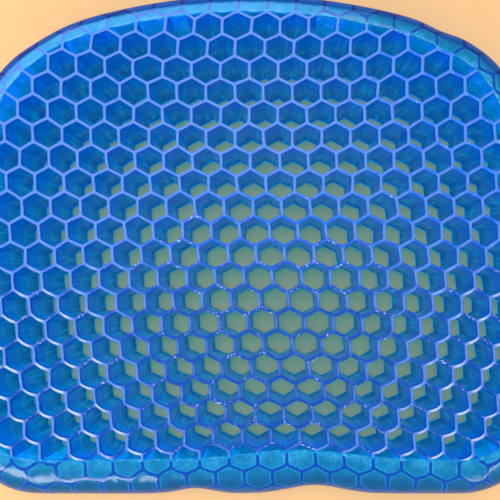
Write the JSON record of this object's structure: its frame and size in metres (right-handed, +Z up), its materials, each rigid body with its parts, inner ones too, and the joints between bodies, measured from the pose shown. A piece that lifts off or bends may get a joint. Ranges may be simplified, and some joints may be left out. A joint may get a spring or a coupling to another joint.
{
  "type": "seat cushion",
  "caption": "Honeycomb gel seat cushion, open through its cells, with ribs under a rounded skin all round its edge.",
  "frame": {"origin": "centre of the cushion's underside, on the surface it lies on", "axes": "+Z up, out of the sitting face; +Y towards the back of the seat; +X to the sitter's right, along the longest side"},
  "size_m": [0.4326, 0.3691, 0.04],
  "materials": {
    "gel_wall": "translucent blue gel, satin where the walls end",
    "gel_skin": "translucent blue gel, glossy",
    "gel_rib": "translucent blue gel"
  },
  "bodies": {
    "root": {"lower_back_skin": "gel_skin", "lower_cell_walls": "gel_wall", "lower_front_skin": "gel_skin", "lower_left_skin": "gel_skin", "lower_right_skin": "gel_skin", "lower_rim_ribs": "gel_rib", "parting_bead": "gel_skin", "parting_web": "gel_wall", "upper_back_skin": "gel_skin", "upper_cell_walls": "gel_wall", "upper_front_skin": "gel_skin", "upper_left_skin": "gel_skin", "upper_right_skin": "gel_skin", "upper_rim_ribs": "gel_rib"}
  },
  "joints": []
}
